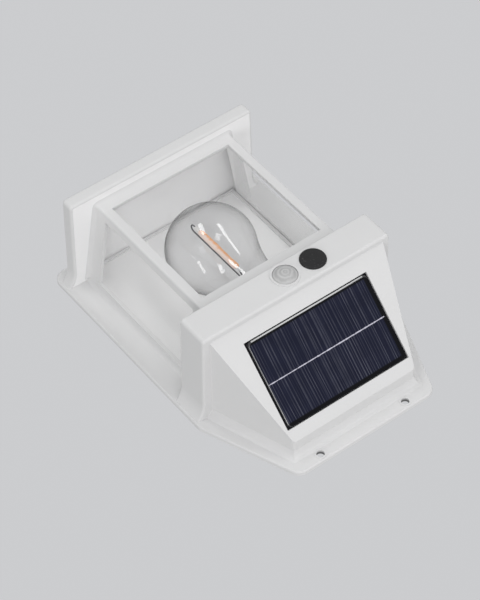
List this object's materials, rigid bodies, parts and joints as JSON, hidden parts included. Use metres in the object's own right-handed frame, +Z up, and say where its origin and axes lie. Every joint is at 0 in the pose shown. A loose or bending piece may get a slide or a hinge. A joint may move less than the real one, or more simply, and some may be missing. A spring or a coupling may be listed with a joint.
{
  "type": "solar fence light",
  "caption": "Wall-hung fence light: solar panel on a slanted head, push button and motion sensor lens over a glazed lantern box with a globe bulb.",
  "frame": {"origin": "centre of the wall plate's height and width, on its back face, which lies on the wall", "axes": "+Z up as the light hangs, solar head on top; +Y into the wall, so the windows, button and sensor face -Y; +X to the right seen from the front"},
  "size_m": [0.115, 0.0567, 0.164],
  "materials": {
    "white_shell": "fine satin",
    "clear_plastic": "polished, clear",
    "seal_rubber": "matt",
    "screw_steel": "bright zinc",
    "inner_white": "satin",
    "spring_brass": "satin",
    "bulb_glass": "clear",
    "support_wire": "dull",
    "filament": "amber coating",
    "cap_metal": "satin",
    "black_insulator": "gloss",
    "panel_board": "satin",
    "panel_cells": "satin with fine lines",
    "panel_ribbon": "satin",
    "panel_resin": "clear, glossy",
    "adhesive": "matt",
    "lens_white": "frosted",
    "button_rubber": "fine grain",
    "switch_black": "satin",
    "board_green": "coated",
    "cell_wrap": "gloss",
    "wire_red": "satin"
  },
  "bodies": {
    "light": {"housing": "white_shell", "window_liner": "clear_plastic", "rear_cover": "white_shell", "rear_seal": "seal_rubber", "rear_cover_screws": "screw_steel", "lamp_deck": "inner_white", "lamp_holder": "inner_white", "holder_screws": "screw_steel", "holder_sleeve": "spring_brass", "holder_contact": "spring_brass", "bulb_glass": "bulb_glass", "bulb_stem": "bulb_glass", "bulb_wires": "support_wire", "bulb_filament": "filament", "bulb_cap": "cap_metal", "bulb_insulator": "black_insulator", "bulb_contact": "cap_metal", "panel_board": "panel_board", "panel_cells": "panel_cells", "panel_ribbon": "panel_ribbon", "panel_resin": "panel_resin", "panel_adhesive": "adhesive", "sensor_lens": "lens_white", "lens_seal": "seal_rubber", "sensor_sleeve": "inner_white", "sensor_can": "screw_steel", "switch_body": "switch_black", "button_guide": "switch_black", "control_board": "board_green", "board_parts": "switch_black", "board_screws": "screw_steel", "battery_cell": "cell_wrap", "battery_tray": "switch_black", "battery_contacts": "screw_steel", "tray_screws": "screw_steel", "panel_leads": "wire_red", "battery_leads": "wire_red", "lamp_leads": "wire_red"},
    "button": {"button_cap": "button_rubber", "switch_plunger": "switch_black"}
  },
  "joints": [
    {"name": "button_press", "type": "slide", "parent": "light", "child": "button", "axis": [0, 1, 0], "range_m": [0, 0.0007], "stiffness_N_per_m": 800, "springref_m": -0.001}
  ]
}
